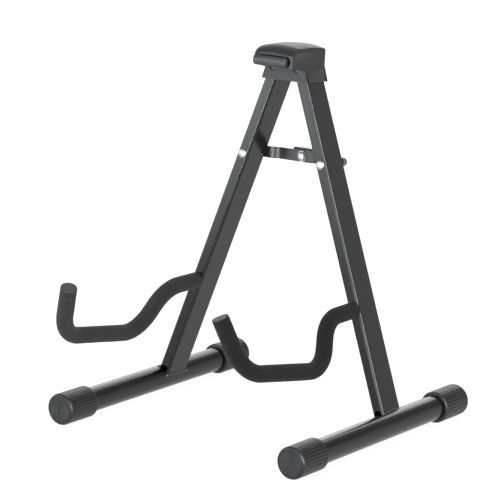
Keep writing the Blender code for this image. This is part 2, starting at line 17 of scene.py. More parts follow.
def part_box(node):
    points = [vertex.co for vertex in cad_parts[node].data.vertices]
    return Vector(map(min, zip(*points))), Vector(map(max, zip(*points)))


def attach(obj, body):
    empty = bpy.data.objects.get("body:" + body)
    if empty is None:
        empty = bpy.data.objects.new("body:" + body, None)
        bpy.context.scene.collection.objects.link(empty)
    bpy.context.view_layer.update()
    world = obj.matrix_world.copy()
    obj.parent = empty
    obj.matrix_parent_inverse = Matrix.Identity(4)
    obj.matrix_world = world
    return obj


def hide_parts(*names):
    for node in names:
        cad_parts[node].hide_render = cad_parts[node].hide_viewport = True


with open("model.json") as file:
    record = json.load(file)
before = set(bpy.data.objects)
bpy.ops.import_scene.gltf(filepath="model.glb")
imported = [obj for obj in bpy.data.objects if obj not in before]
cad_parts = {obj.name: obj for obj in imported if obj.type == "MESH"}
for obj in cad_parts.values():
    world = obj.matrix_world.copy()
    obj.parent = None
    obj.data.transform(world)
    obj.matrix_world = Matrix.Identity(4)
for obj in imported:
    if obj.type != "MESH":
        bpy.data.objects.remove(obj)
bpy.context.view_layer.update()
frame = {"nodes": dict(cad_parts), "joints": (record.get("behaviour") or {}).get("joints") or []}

MM = 0.001
SIDES = {"left": -1, "right": 1}
QUARTER = math.pi / 2

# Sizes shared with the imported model
LEG_WIDTH = 12.6 * MM
LEG_DEPTH = 31.5 * MM
LEG_WALL = 1.5 * MM
LEG_CORNER = 2.6 * MM
LEG_TOP = 9.5 * MM
LEG_END = 6.0 * MM
PIVOT_TO_FOOT = 359.9 * MM
NOTCH_DOWN = 349.4 * MM
NOTCH_RADIUS = 4.2 * MM
FOOT_TUBE_RADIUS = 12.5 * MM
FOOT_TUBE_WALL = 1.5 * MM
CAP_RADIUS = 16.0 * MM
CAP_LENGTH = 42.0 * MM
CAP_RIBS = 30
FOAM_RADIUS = 8.5 * MM
ROD_RADIUS = 4.0 * MM
CRADLE_CORNERS = [(0, 116.2), (48.9, 113.5), (73.7, 65.8), (196.2, 80.1), (212.1, 136.7)]
CRADLE_BENDS = [35.0, 33.0, 38.5]
TIP_THICKNESS = 1.6 * MM

HEAD_HALF = 23.3 * MM
HEAD_FRONT = -40.2 * MM
HEAD_BACK = 18.0 * MM
HEAD_TOP = 21.6 * MM
HEAD_CROWN = 3.0 * MM
HEAD_BULGE = 1.8 * MM
HEAD_LIP = 2.6 * MM
NOSE_START = 14.2 * MM
NOSE_ARCH = 1.9 * MM
NOSE_LENGTH = 16.0 * MM
HEAD_WALL = 1.8 * MM
SKIRT_LOW = -12.6 * MM
SKIRT_HALF = 27.7 * MM
BUMPER_LEFT = -21.6 * MM
BUMPER_RIGHT = 18.0 * MM
RECESS_LEFT = -22.0 * MM
RECESS_RIGHT = 20.8 * MM
BUMPER_FRONT = -44.4 * MM
BUMPER_BACK = -31.5 * MM
BUMPER_LOW = 3.2 * MM
BUMPER_HIGH = 12.9 * MM
BUMPER_GAP = 0.4 * MM

LINK_HEIGHT = 5.9 * MM
LINK_THICK = 2.0 * MM
LINK_SETBACK = {"left": 4.0 * MM, "right": 6.4 * MM}
BOLT_RADIUS = 2.5 * MM
BOLT_HOLE_RADIUS = 4.3 * MM
DOME_RADIUS = 4.75 * MM
DOME_HEIGHT = 2.6 * MM
LEG_BACK = LEG_DEPTH / 2
LINK_FRONT = LEG_BACK + 0.4 * MM
NUT_FRONT = LINK_FRONT + LINK_THICK + 1.6 * MM

# Finer shape of the head
BROW_DROP = 0.6 * MM
NOSE_CREASE = 0.5
NOSE_STEPS = 14
CROWN_SHARES = (0.1, 0.25, 0.4, 0.55, 0.7, 0.85)
CROWN_PEAK = 0.45
CROWN_FALL_AHEAD = 0.8
CROWN_FALL_BEHIND = 1.5
HEEL_DROP = 1.5 * MM
HEEL_RADIUS = 2.5 * MM
HEEL_STEPS = 12
HEAD_UNDERSIDE = -1.0 * MM
STATION_SHARES = (0.12, 0.25, 0.38, 0.5, 0.62, 0.74, 0.84, 0.91)
CHEEK_ROUNDING = 1.0 * MM
CHEEK_STEPS = 10
GROOVE_EDGES = (1.3 * MM, 1.8 * MM)
GROOVE_DEPTH = 0.45 * MM
SKIRT_TOP = 2.0 * MM
SKIRT_TOP_HALF = HEAD_HALF - 0.1 * MM
SKIRT_WALL = 1.5 * MM
ROOM_HALF = HEAD_HALF - HEAD_WALL
ROOM_DEPTH = LEG_BACK + 0.4 * MM
OVERCUT = 1.0 * MM  # how far a cutter runs past the face it opens

# Finer shape of the caps, in millimetres along the cap and in from the ribs' tops, with the share of the
# grooves' depth. CAP_MOUTH counts from the open end and the others from the outer end.
CAP_MOUTH = ((0.0, 1.6, 0.0), (0.3, 0.7, 0.0), (1.0, 0.15, 0.0), (1.6, 0.0, 0.0), (2.6, 0.0, 0.9))
CAP_BARREL = ((30.0, 0.0, 1.0), (16.0, 0.0, 1.0), (4.2, 0.0, 1.0), (3.4, 0.0, 0.5), (2.9, 0.0, 0.0))
CAP_SHOULDER = (
    (2.4, 0.05), (1.6, 0.3), (0.9, 0.75), (0.35, 1.3), (0.08, 1.8), (0.0, 2.25), (0.08, 2.4), (1.0, 2.5),
    (1.0, 15.8),
)
CAP_GROOVE = 0.6 * MM
CAP_END_WALL = 4.0 * MM
RIB_SECTION = ((-0.41, 0.0), (-0.2, 0.0), (0.2, 0.0), (0.41, 0.0), (0.45, 0.6), (0.5, 1.0), (0.55, 0.6))
DISC_SECTION = (
    (13.2, 1.6), (13.2, 0.12), (13.1, 0.03), (12.9, 0.0), (12.0, 0.05), (5.0, 0.25), (2.4, 0.2), (1.8, 0.25),
    (1.3, 0.8), (0.6, 1.1), (0.2, 1.15),
)

# Finer shape of the welds and the foam
WELD_SHARES = [-0.98 + 0.07 * i for i in range(29)]
WELD_SEEDS = {"left": 3, "right": 11}
BEAD_SIDES = 14
TACKS = (("inner_front", -1, -1.0), ("outer_front", 1, -1.0), ("inner_rear", -1, 1.02))
TACK_RADIUS = 1.6 * MM
FOAM_SIDES = 40
FOAM_SKIN = FOAM_RADIUS - 0.16 * MM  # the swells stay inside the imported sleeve
FOAM_SEEDS = {"left": 7.0, "right": 19.0}
FOAM_END_ROUNDING = 0.5 * MM
TIP_SECTION = (
    (7.8, 1.6), (8.15, 1.4), (8.2, 0.7), (8.1, 0.3), (7.8, 0.05), (7.3, 0.0), (3.0, 0.05), (1.0, 0.1),
)

# The finger tab on the brace
TAB_HALF = 11.0 * MM
TAB_DEPTH = 12.0 * MM

joints = {joint["name"]: joint for joint in frame["joints"]}
BACKWARD = Vector(joints["right_leg_fold"]["axis"]).normalized()
PIVOTS = {side: Vector(joints[f"{side}_leg_fold"]["pos_m"]) for side in SIDES}
LEFT_BOLT = Vector(joints["left_link_fold"]["pos_m"])
BOLTS = {"left": LEFT_BOLT, "right": Vector((-LEFT_BOLT.x, LEFT_BOLT.y, LEFT_BOLT.z))}
MIDDLE = Vector(joints["right_link_fold"]["pos_m"])


# Frames


def place(origin, up):
    """Y runs out of the stand's back and Z runs up."""
    across = BACKWARD.cross(up).normalized()
    turn = Matrix((across, BACKWARD, up)).transposed().to_4x4()
    return Matrix.Translation(origin) @ turn


PLANE_UP = Vector((1, 0, 0)).cross(BACKWARD)
PLANE = place((PIVOTS["left"] + PIVOTS["right"]) / 2, PLANE_UP)
LEGS = {side: place(PIVOTS[side], (PIVOTS[side] - BOLTS[side]).normalized()) for side in SIDES}


def upright(origin):
    return place(origin, PLANE_UP)


# Meshes


def loft(rings, wrap=False):
    """Skin over rings with the same number of points, closed at both ends or joined end to start."""
    bm = bmesh.new()
    rows = [[bm.verts.new(point) for point in ring] for ring in rings]
    pairs = list(zip(rows, rows[1:]))
    if wrap:
        pairs.append((rows[-1], rows[0]))
    for low, high in pairs:
        for i in range(len(low)):
            j = (i + 1) % len(low)
            bm.faces.new((low[i], low[j], high[j], high[i]))
    if not wrap:
        bm.faces.new(rows[0])
        bm.faces.new(rows[-1])
    return bm


def turned(profile, sides=48, wrap=False):
    """A body of revolution about the Y axis, from (radius, y) points."""
    rings = []
    turns = [math.tau * i / sides for i in range(sides)]
    for radius, y in profile:
        rings.append([(radius * math.sin(t), y, radius * math.cos(t)) for t in turns])
    return loft(rings, wrap)


def drill(radius, sides):
    """A cutter along Y that is longer than anything it goes through."""
    reach = 0.03
    return turned([(radius, -reach), (radius, reach)], sides)


def rounded_rectangle(half_x, half_y, radius, z):
    ring = []
    steps = 6
    for quarter, (sx, sy) in enumerate([(1, 1), (-1, 1), (-1, -1), (1, -1)]):
        for step in range(steps + 1):
            angle = QUARTER * (quarter + step / steps)
            x = sx * (half_x - radius) + radius * math.cos(angle)
            y = sy * (half_y - radius) + radius * math.sin(angle)
            ring.append((x, y, z))
    return ring


def box(low, high):
    (x0, y0, z0), (x1, y1, z1) = low, high
    return loft([[(x0, y0, z), (x1, y0, z), (x1, y1, z), (x0, y1, z)] for z in (z0, z1)])


def to_object(name, bm, matrix=None):
    bmesh.ops.recalc_face_normals(bm, faces=bm.faces)
    mesh = bpy.data.meshes.new(name)
    bm.to_mesh(mesh)
    bm.free()
    if matrix is not None:
        mesh.transform(matrix)
    obj = bpy.data.objects.new(name, mesh)
    bpy.context.scene.collection.objects.link(obj)
    return obj


def carve(obj, tools, operation="DIFFERENCE"):
    """Cut or join with (mesh, matrix) tools, and keep the result in the object's own mesh."""
    helpers = []
    for bm, matrix in tools:
        helper = to_object("helper", bm, matrix)
        modifier = obj.modifiers.new("cut", "BOOLEAN")
        modifier.operation = operation
        modifier.object = helper
        modifier.solver = "EXACT"
        helpers.append(helper)
    graph = bpy.context.evaluated_depsgraph_get()
    mesh = bpy.data.meshes.new_from_object(obj.evaluated_get(graph))
    obj.modifiers.clear()
    obj.data = mesh
    for helper in helpers:
        bpy.data.objects.remove(helper)


def soften(obj, width, angle):
    """Round the edges sharper than the angle."""
    bm = bmesh.new()
    bm.from_mesh(obj.data)
    bmesh.ops.remove_doubles(bm, verts=bm.verts, dist=0.02 * MM)
    bmesh.ops.dissolve_degenerate(bm, dist=0.01 * MM, edges=bm.edges)
    limit = math.radians(angle)
    edges = [e for e in bm.edges if len(e.link_faces) == 2 and e.calc_face_angle(0) > limit]
    bmesh.ops.bevel(
        bm, geom=edges, offset=width, offset_type="OFFSET", segments=2, profile=0.5, affect="EDGES",
        clamp_overlap=True,
    )
    bm.to_mesh(obj.data)
    bm.free()


def finish_piece(obj, body, material, replaced=(), angle=35):
    """Shade the piece smooth up to the angle, and tie it to its body and what it replaces."""
    obj.data.shade_smooth()
    obj.data.set_sharp_from_angle(angle=math.radians(angle))
    obj.data.materials.clear()
    obj.data.materials.append(material)
    weighted = obj.modifiers.new("even_shading", "WEIGHTED_NORMAL")
    weighted.keep_sharp = True
    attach(obj, body)
    if replaced:
        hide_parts(*replaced)
    return obj


def piece(name, bm, matrix, body, material, replaced=(), angle=35):
    return finish_piece(to_object(name, bm, matrix), body, material, replaced, angle)


# Materials


def node(tree, kind, **values):
    made = tree.nodes.new(kind)
    for key, value in values.items():
        setattr(made, key, value)
    return made


def noise_at(tree, coords, scale, detail, roughness):
    made = node(tree, "ShaderNodeTexNoise")
    made.inputs["Scale"].default_value = scale
    made.inputs["Detail"].default_value = detail
    made.inputs["Roughness"].default_value = roughness
    tree.links.new(coords, made.inputs["Vector"])
    return made.outputs["Fac"]


def spread(tree, value, low, high, start=0.3, end=0.7):
    """Map a texture's middle range, start to end, onto low to high."""
    made = node(tree, "ShaderNodeMapRange")
    made.inputs["From Min"].default_value = start
    made.inputs["From Max"].default_value = end
    made.inputs["To Min"].default_value = low
    made.inputs["To Max"].default_value = high
    tree.links.new(value, made.inputs["Value"])
    return made.outputs["Result"]


def blend_colours(tree, factor, first, second):
    made = node(tree, "ShaderNodeMix", data_type="RGBA")
    tree.links.new(factor, made.inputs["Factor"])
    for label, colour in (("A", first), ("B", second)):
        socket = [s for s in made.inputs if s.name == label and s.type == "RGBA"][0]
        if isinstance(colour, tuple):
            socket.default_value = (*colour, 1)
        else:
            tree.links.new(colour, socket)
    return [s for s in made.outputs if s.type == "RGBA"][0]


def surface(name, dark, light, rough, mottle, grain, bump, edge_wear_and_highlight=None, **sockets):
    """A shader whose colour, gloss and relief vary. mottle and grain are texture scales per metre.

    The edge wear argument is the colour of convex edges, partly rubbed wear and partly a painted edge
    highlight, and how much of it shows. sockets are set on the shader itself.
    """
    made = bpy.data.materials.new(name)
    made.use_nodes = True
    tree = made.node_tree
    shader = tree.nodes["Principled BSDF"]
    coords = node(tree, "ShaderNodeTexCoord").outputs["Object"]
    patches = noise_at(tree, coords, mottle, detail=4.0, roughness=0.55)
    fine = noise_at(tree, coords, grain, detail=2.0, roughness=0.5)
    colour = blend_colours(tree, spread(tree, patches, 0.0, 1.0), dark, light)
    speck_share, speck_tone = 0.35, 1.5
    specks = spread(tree, fine, 0.0, speck_share, start=0.45, end=0.75)
    colour = blend_colours(tree, specks, colour, tuple(min(1.0, c * speck_tone) for c in light))
    # Convex edges are lightened: partly rubbed wear, partly a painted edge highlight.
    if edge_wear_and_highlight is not None:
        wear_and_highlight_colour, amount = edge_wear_and_highlight
        edges = node(tree, "ShaderNodeNewGeometry").outputs["Pointiness"]
        wear_and_highlight_mask = spread(tree, edges, 0.0, amount, start=0.52, end=0.62)
        colour = blend_colours(tree, wear_and_highlight_mask, colour, wear_and_highlight_colour)
    tree.links.new(colour, shader.inputs["Base Color"])
    tree.links.new(spread(tree, patches, *rough), shader.inputs["Roughness"])
    relief = node(tree, "ShaderNodeBump")
    relief.inputs["Strength"].default_value = bump[0]
    relief.inputs["Distance"].default_value = bump[1]
    tree.links.new(fine, relief.inputs["Height"])
    tree.links.new(relief.outputs["Normal"], shader.inputs["Normal"])
    for socket, value in sockets.items():
        shader.inputs[socket.replace("_", " ")].default_value = value
    return made


def turned_tangent(material):
    """Stretch the highlights as circular turning marks do."""
    tree = material.node_tree
    tangent = node(tree, "ShaderNodeTangent", direction_type="RADIAL", axis="Y")
    tree.links.new(tangent.outputs["Tangent"], tree.nodes["Principled BSDF"].inputs["Tangent"])


def painted_materials():
    made = {}
    made["leg_paint"] = surface(
        "leg_powder_coat", (0.004, 0.004, 0.0044), (0.007, 0.007, 0.0076), (0.19, 0.205), 60, 1500,
        (0.012, 0.04 * MM), edge_wear_and_highlight=((0.05, 0.05, 0.052), 0.3), Specular_IOR_Level=0.235,
    )
    made["foot_paint"] = surface(
        "foot_powder_coat", (0.003, 0.003, 0.003), (0.005, 0.005, 0.005), (0.2, 0.24), 50, 1300,
        (0.012, 0.04 * MM), Specular_IOR_Level=0.36,
    )
    # The weld is painted over like the leg; its lighter colour is a painted highlight on the beads and tacks.
    made["weld"] = surface(
        "weld_with_painted_highlight", (0.03, 0.03, 0.031), (0.07, 0.07, 0.072), (0.2, 0.3), 400, 1500,
        (0.2, 0.08 * MM),
    )
    return made


def foam_materials():
    """The two sleeves differ only in tone: the left one is painted lighter and the right one darker, as
    painted light and shade.
    """
    made = {}
    # The left sleeve's higher tone is painted light and the right sleeve's lower tone is painted shade, on
    # one foam.
    for side, painted_light_level in (("left", 2.2), ("right", 0.68)):
        dark, light = [tuple(tone * painted_light_level * c for c in (1.0, 1.0, 1.04)) for tone in (0.0092, 0.0152)]
        made[f"{side}_foam"] = surface(
            f"{side}_foam_sleeve", dark, light, (0.9, 1.0), 180, 1000, (0.8, 0.3 * MM),
            Specular_IOR_Level=0.12, Sheen_Weight=0.06, Sheen_Roughness=0.6,
        )
    made["tip"] = surface(
        "foam_end_disc", (0.03, 0.03, 0.032), (0.05, 0.05, 0.053), (0.5, 0.65), 300, 2200,
        (0.4, 0.15 * MM), Specular_IOR_Level=0.3,
    )
    return made


def moulded_materials():
    made = {}
    made["cap_rubber"] = surface(
        "foot_cap_rubber", (0.008, 0.008, 0.0085), (0.014, 0.014, 0.015), (0.4, 0.46), 90, 1700,
        (0.08, 0.06 * MM), edge_wear_and_highlight=((0.05, 0.05, 0.052), 0.3), Specular_IOR_Level=0.36,
    )
    made["cap_disc"] = surface(
        "turned_cap_disc", (0.012, 0.0123, 0.0135), (0.018, 0.0185, 0.02), (0.32, 0.4), 160, 1700,
        (0.05, 0.05 * MM), Anisotropic=0.6, Specular_IOR_Level=0.36,
    )
    turned_tangent(made["cap_disc"])
    made["head_plastic"] = surface(
        "head_moulded_plastic", (0.018, 0.018, 0.0188), (0.024, 0.024, 0.0252), (0.46, 0.52), 70, 1900,
        (0.08, 0.06 * MM), edge_wear_and_highlight=((0.09, 0.09, 0.094), 0.4), Specular_IOR_Level=0.25,
    )
    made["bumper_rubber"] = surface(
        "bumper_rubber", (0.026, 0.0265, 0.029), (0.034, 0.035, 0.038), (0.42, 0.48), 120, 1600,
        (0.08, 0.06 * MM), Specular_IOR_Level=0.34,
    )
    return made


def metal_materials():
    made = {}
    made["zinc"] = surface(
        "zinc_plating", (0.26, 0.27, 0.285), (0.32, 0.33, 0.345), (0.43, 0.49), 300, 1400,
        (0.03, 0.03 * MM), Metallic=1.0,
    )
    made["black_steel"] = surface(
        "black_coated_steel", (0.017, 0.017, 0.0176), (0.024, 0.024, 0.025), (0.24, 0.29), 150, 1500,
        (0.03, 0.05 * MM), edge_wear_and_highlight=((0.1, 0.1, 0.1), 0.4), Specular_IOR_Level=0.28,
    )
    made["steel"] = surface(
        "plain_steel", (0.4, 0.4, 0.41), (0.52, 0.52, 0.53), (0.3, 0.45), 300, 1500,
        (0.1, 0.05 * MM), Metallic=1.0,
    )
    return made


# Head


def head_profile(x, inset):
    """The head's outline at one station across it, as (y, z) points, front bottom first."""
    across = x / HEAD_HALF
    front = HEAD_FRONT + HEAD_BULGE * across**4 + inset
    back = HEAD_BACK - inset
    top = HEAD_TOP + HEAD_CROWN * (1 - across**2) - inset
    brow, heel = top - BROW_DROP, top - HEEL_DROP
    height = brow - (NOSE_START + NOSE_ARCH * (1 - across**2)) + inset
    points = [(front, HEAD_LIP + inset)] + nose_curve(front, brow, height) + crown_curve(front, back, top)
    for step in range(HEEL_STEPS + 1):
        angle = QUARTER * step / HEEL_STEPS
        y = back - HEEL_RADIUS * (1 - math.sin(angle))
        points.append((y, heel - HEEL_RADIUS * (1 - math.cos(angle))))
    points += [(back, HEAD_UNDERSIDE + inset), (-HEAD_BACK, HEAD_UNDERSIDE + inset)]
    return points


def nose_curve(front, brow, height):
    """From the crease over the bumper up and back to the brow."""
    points = []
    for step in range(NOSE_STEPS + 1):
        angle = NOSE_CREASE + (QUARTER - NOSE_CREASE) * step / NOSE_STEPS
        back_share = 1 - math.cos(angle) / math.cos(NOSE_CREASE)
        drop_share = (1 - math.sin(angle)) / (1 - math.sin(NOSE_CREASE))
        points.append((front + NOSE_LENGTH * back_share, brow - height * drop_share))
    return points


def crown_curve(front, back, top):
    """Along the top, which falls away to both ends from its peak."""
    points = []
    for share in CROWN_SHARES:
        y = front + NOSE_LENGTH + share * (back - HEEL_RADIUS - front - NOSE_LENGTH)
        if share < CROWN_PEAK:
            fall = CROWN_FALL_AHEAD * (1 - share / CROWN_PEAK) ** 2
        else:
            fall = CROWN_FALL_BEHIND * ((share - CROWN_PEAK) / (1 - CROWN_PEAK)) ** 2
        points.append((y, top - fall * MM))
    return points


def head_stations():
    """Stations across the head as (x, inset), which round the cheeks over at both ends."""
    right = [(HEAD_HALF * share, 0.0) for share in STATION_SHARES]
    for step in range(CHEEK_STEPS + 1):
        angle = QUARTER * step / CHEEK_STEPS
        x = HEAD_HALF - CHEEK_ROUNDING * (1 - math.sin(angle))
        right.append((x, CHEEK_ROUNDING * (1 - math.cos(angle))))
    return [(-x, inset) for x, inset in reversed(right)] + [(0.0, 0.0)] + right


def tapered_box(top_half, low_half, half_depth, top, low):
    rings = []
    for z, half in ((top, top_half), (low, low_half)):
        ring = [(half, half_depth), (-half, half_depth), (-half, -half_depth), (half, -half_depth)]
        rings.append([(x, y, z) for x, y in ring])
    return loft(rings)


def make_head(materials):
    rings = [[(x, y, z) for y, z in head_profile(x, inset)] for x, inset in head_stations()]
    head = to_object("head_moulding", loft(rings), PLANE)
    skirt = tapered_box(SKIRT_TOP_HALF, SKIRT_HALF, HEAD_BACK, SKIRT_TOP, SKIRT_LOW)
    carve(head, [(skirt, PLANE)], "UNION")
    tools = head_rooms()
    for side in SIDES.values():
        for towards in (-1, 1):
            tools.append(corner_slit(side, towards * ROOM_DEPTH, towards, SKIRT_LOW - OVERCUT))
        tools.append(cheek_groove(side))
    tools = [(bm, PLANE) for bm in tools]
    tools += [(pivot_hole(), upright(PIVOTS[side])) for side in SIDES]
    carve(head, tools)
    soften(head, 0.3 * MM, 34)
    finish_piece(head, "head", materials["head_plastic"], ["head_shell"], 13)


def head_rooms():
    """Cutters for the room over the legs, the skirt's inside, the bumper's recess and the nose's inside."""
    slope = (SKIRT_HALF - SKIRT_TOP_HALF) / (SKIRT_TOP - SKIRT_LOW)
    lower = SKIRT_HALF - SKIRT_WALL + slope * OVERCUT
    wall_front = BUMPER_BACK + BUMPER_GAP + HEAD_WALL
    nose_low, nose_high = (-ROOM_HALF, wall_front, -6.0 * MM), (ROOM_HALF, -HEAD_BACK - 0.1 * MM, 18.0 * MM)
    return [
        tapered_box(ROOM_HALF, ROOM_HALF, ROOM_DEPTH, 17.0 * MM, 1.0 * MM),
        tapered_box(ROOM_HALF, lower, ROOM_DEPTH, 1.2 * MM, SKIRT_LOW - OVERCUT),
        bumper_recess(),
        box(nose_low, nose_high),
    ]


def pivot_hole():
    """A bolt's hole through the head, sunk for the bolt's head in front."""
    sunk_radius, bore, reach = 3.9 * MM, 2.8 * MM, 0.02
    shoulder = 1.55 * MM - HEAD_BACK
    return turned([(sunk_radius, -reach), (sunk_radius, shoulder), (bore, shoulder), (bore, reach)])


def cheek_groove(side):
    """A shallow groove that follows the cheek's outline, from its front foot to its top back corner."""
    outside, inside = [head_profile(HEAD_HALF, inset)[1:-8] for inset in GROOVE_EDGES]
    x0, x1 = side * (HEAD_HALF - GROOVE_DEPTH), side * (HEAD_HALF + MM)
    outside.insert(0, (outside[0][0], HEAD_LIP - MM))
    inside.insert(0, (inside[0][0], HEAD_LIP - MM))
    rings = []
    for (y0, z0), (y1, z1) in zip(outside, inside):
        rings.append([(x0, y0, z0), (x1, y0, z0), (x1, y1, z1), (x0, y1, z1)])
    return loft(rings)


def bumper_recess():
    """The bumper's room in the head's front. Its roof is arched and its right end is rounded."""
    front, back = -0.08, BUMPER_BACK + BUMPER_GAP
    low, high = BUMPER_LOW - BUMPER_GAP, BUMPER_HIGH + 0.6 * MM
    centre, half = (RECESS_LEFT + RECESS_RIGHT) / 2, (RECESS_RIGHT - RECESS_LEFT) / 2
    arch, round_end = 0.3 * MM, 4.2 * MM
    straight_steps, round_steps = 12, 9
    straight = RECESS_RIGHT - round_end - RECESS_LEFT
    stations = [(RECESS_LEFT + straight * step / straight_steps, 0.0) for step in range(straight_steps)]
    for step in range(round_steps + 1):
        turn = QUARTER * step / round_steps
        x = RECESS_RIGHT - round_end * (1 - math.sin(turn))
        stations.append((x, round_end * (1 - math.cos(turn))))
    rings = []
    for x, pinch in stations:
        roof = high + arch * (1 - ((x - centre) / half) ** 2) - pinch
        floor = low + pinch
        rings.append([(x, front, floor), (x, back, floor), (x, back, roof), (x, front, roof)])
    return loft(rings)


def corner_slit(side, plate, towards, bottom):
    """The gap that parts the skirt's side from its front or back plate, and narrows upwards."""
    x0, x1 = side * 20.0 * MM, side * 32.0 * MM
    slit_top, wide, narrow = -1.5 * MM, 2.0 * MM, 0.8 * MM
    rings = []
    for z, width in ((bottom, wide), (slit_top, narrow)):
        y = plate - towards * width
        rings.append([(x0, plate, z), (x1, plate, z), (x1, y, z), (x0, y, z)])
    return loft(rings)


def make_bumper(materials):
    """A bullnosed rubber bar with soft ends."""
    half_height = (BUMPER_HIGH - BUMPER_LOW) / 2
    middle = BUMPER_LOW + half_height
    nose, end_radius, corner, steps = 3.2 * MM, 2.2 * MM, 2.0 * MM, 12
    curve = []
    for step in range(steps + 1):
        turn = QUARTER * step / steps
        round_off = 1 - math.sin(turn)
        curve.append((end_radius * (1 - math.cos(turn)), end_radius * round_off, corner * round_off))
    stations = [(BUMPER_LEFT + inwards, setback, pinch) for inwards, setback, pinch in curve]
    stations.append((0.0, 0.0, 0.0))
    stations += [(BUMPER_RIGHT - inwards, setback, pinch) for inwards, setback, pinch in reversed(curve)]
    rings = []
    for x, setback, pinch in stations:
        rings.append(bumper_section(x, BUMPER_FRONT + setback, middle, half_height - pinch, nose))
    rubber = materials["bumper_rubber"]
    piece("bumper_bar", loft(rings), PLANE, "head", rubber, ["neck_bumper"], 50)


def bumper_section(x, front, middle, half, nose):
    """Square behind and rounded in front, where bluntness below 1 makes the round fuller."""
    steps, bluntness = 16, 0.75
    ring = [(x, BUMPER_BACK, middle - half)]
    for step in range(steps + 1):
        angle = math.pi * step / steps
        y = front + nose * (1 - math.sin(angle) ** bluntness)
        ring.append((x, y, middle - half * math.cos(angle)))
    ring.append((x, BUMPER_BACK, middle + half))
    return ring


# Legs and feet


def foot_place(side):
    """The foot tube's axis as a place on y = 0, and the tube's front and back."""
    low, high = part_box(f"{side}_foot_tube")
    centre = (Vector(low) + Vector(high)) / 2
    return Matrix.Translation((centre.x, 0, centre.z)), Vector(low).y, Vector(high).y


def make_leg(materials, side):
    """A rounded rectangular tube, coped over the foot tube, drilled for its bolts and notched at its foot."""
    heights = [-PIVOT_TO_FOOT + LEG_END, LEG_TOP]
    rings = [rounded_rectangle(LEG_WIDTH / 2, LEG_DEPTH / 2, LEG_CORNER, z) for z in heights]
    half_x, half_y = LEG_WIDTH / 2 - LEG_WALL, LEG_DEPTH / 2 - LEG_WALL
    rings += [rounded_rectangle(half_x, half_y, LEG_CORNER - LEG_WALL, z) for z in reversed(heights)]
    leg = to_object(f"{side}_leg_profile", loft(rings, wrap=True), LEGS[side])
    foot, _, _ = foot_place(side)
    cope_radius = FOOT_TUBE_RADIUS + 0.1 * MM
    cope = turned([(cope_radius, -0.1), (cope_radius, 0.2)], 64)
    holes = [(drill(BOLT_HOLE_RADIUS, 32), LEGS[side]), (drill(BOLT_HOLE_RADIUS, 32), upright(BOLTS[side]))]
    notch_at = LEGS[side] @ Matrix.Translation((0, 0, -NOTCH_DOWN))
    carve(leg, [(cope, foot)] + holes + [(drill(NOTCH_RADIUS, 40), notch_at)])
    finish_piece(leg, f"{side}_leg", materials["leg_paint"], [f"{side}_leg_tube"], 30)


def make_welds(materials, side):
    """A lumpy bead along each side of the leg's end."""
    thickness, ripple, ripple_turn, scatter, taper_power = 1.15, 0.3, 2.1, 0.12, 0.35
    rng = random.Random(WELD_SEEDS[side])
    for label, face in (("inner", -1), ("outer", 1)):
        spots = [weld_spot(side, face * SIDES[side], share) for share in WELD_SHARES]
        rings = []
        for i, spot in enumerate(spots):
            taper = math.sin(math.pi * (i + 0.5) / len(spots)) ** taper_power
            swell = ripple * math.cos(i * ripple_turn)
            radius = (thickness + swell + rng.uniform(-scatter, scatter)) * taper * MM
            turns = [math.tau * step / BEAD_SIDES for step in range(BEAD_SIDES)]
            rings.append([spot + Vector((math.cos(turn), 0, math.sin(turn))) * radius for turn in turns])
        name = f"{side}_{label}_weld"
        piece(name, loft(rings), None, f"{side}_leg", materials["weld"], (), 80)


def make_tacks(materials, side):
    """Small blobs of weld at the corners of the leg's end."""
    lumpiness, lump_scale, seed_scale = 0.35, 900, 500
    for label, face, share in TACKS:
        spot = weld_spot(side, face * SIDES[side], share)
        bm = bmesh.new()
        bmesh.ops.create_icosphere(bm, subdivisions=3, radius=TACK_RADIUS)
        for vert in bm.verts:
            lump = 1 + lumpiness * noise.noise(vert.co * lump_scale + spot * seed_scale)
            vert.co = Vector((vert.co.x, vert.co.y * 1.2, vert.co.z * 0.8)) * lump
        at = Matrix.Translation(spot)
        piece(f"{side}_{label}_tack", bm, at, f"{side}_leg", materials["weld"], (), 80)


def weld_spot(side, face, share):
    """Where a side face of the leg meets the foot tube, at a share of the leg's half depth."""
    place_at, _, _ = foot_place(side)
    axis_x, axis_z = place_at.translation.x, place_at.translation.z
    leg = LEGS[side]
    y = share * LEG_DEPTH / 2
    top = leg @ Vector((face * LEG_WIDTH / 2, y, -PIVOT_TO_FOOT * 0.9))
    down = (leg @ Vector((face * LEG_WIDTH / 2, y, -PIVOT_TO_FOOT)) - top).normalized()
    low, high = 0.0, 0.05
    for _ in range(40):
        middle = (low + high) / 2
        spot = top + down * middle
        if math.hypot(spot.x - axis_x, spot.z - axis_z) > FOOT_TUBE_RADIUS:
            low = middle
        else:
            high = middle
    return top + down * low


def make_foot(materials, side):
    place_at, front, back = foot_place(side)
    bore = FOOT_TUBE_RADIUS - FOOT_TUBE_WALL
    profile = [(FOOT_TUBE_RADIUS, front), (FOOT_TUBE_RADIUS, back), (bore, back), (bore, front)]
    piece(
        f"{side}_foot_rail", turned(profile, 72, wrap=True), place_at, f"{side}_leg",
        materials["foot_paint"], [f"{side}_foot_tube"],
    )
    for end, outwards in (("front", -1), ("rear", 1)):
        make_cap(materials, side, end, outwards, place_at)


def ribbed_ring(radius, groove, y):
    """Round-topped ribs with narrow grooves between them. One rib faces straight down."""
    ring = []
    pitch = math.tau / CAP_RIBS
    for rib in range(CAP_RIBS):
        for share, depth in RIB_SECTION:
            turn = (rib + share) * pitch
            reach = radius - groove * depth
            ring.append((reach * math.sin(turn), y, -reach * math.cos(turn)))
    return ring


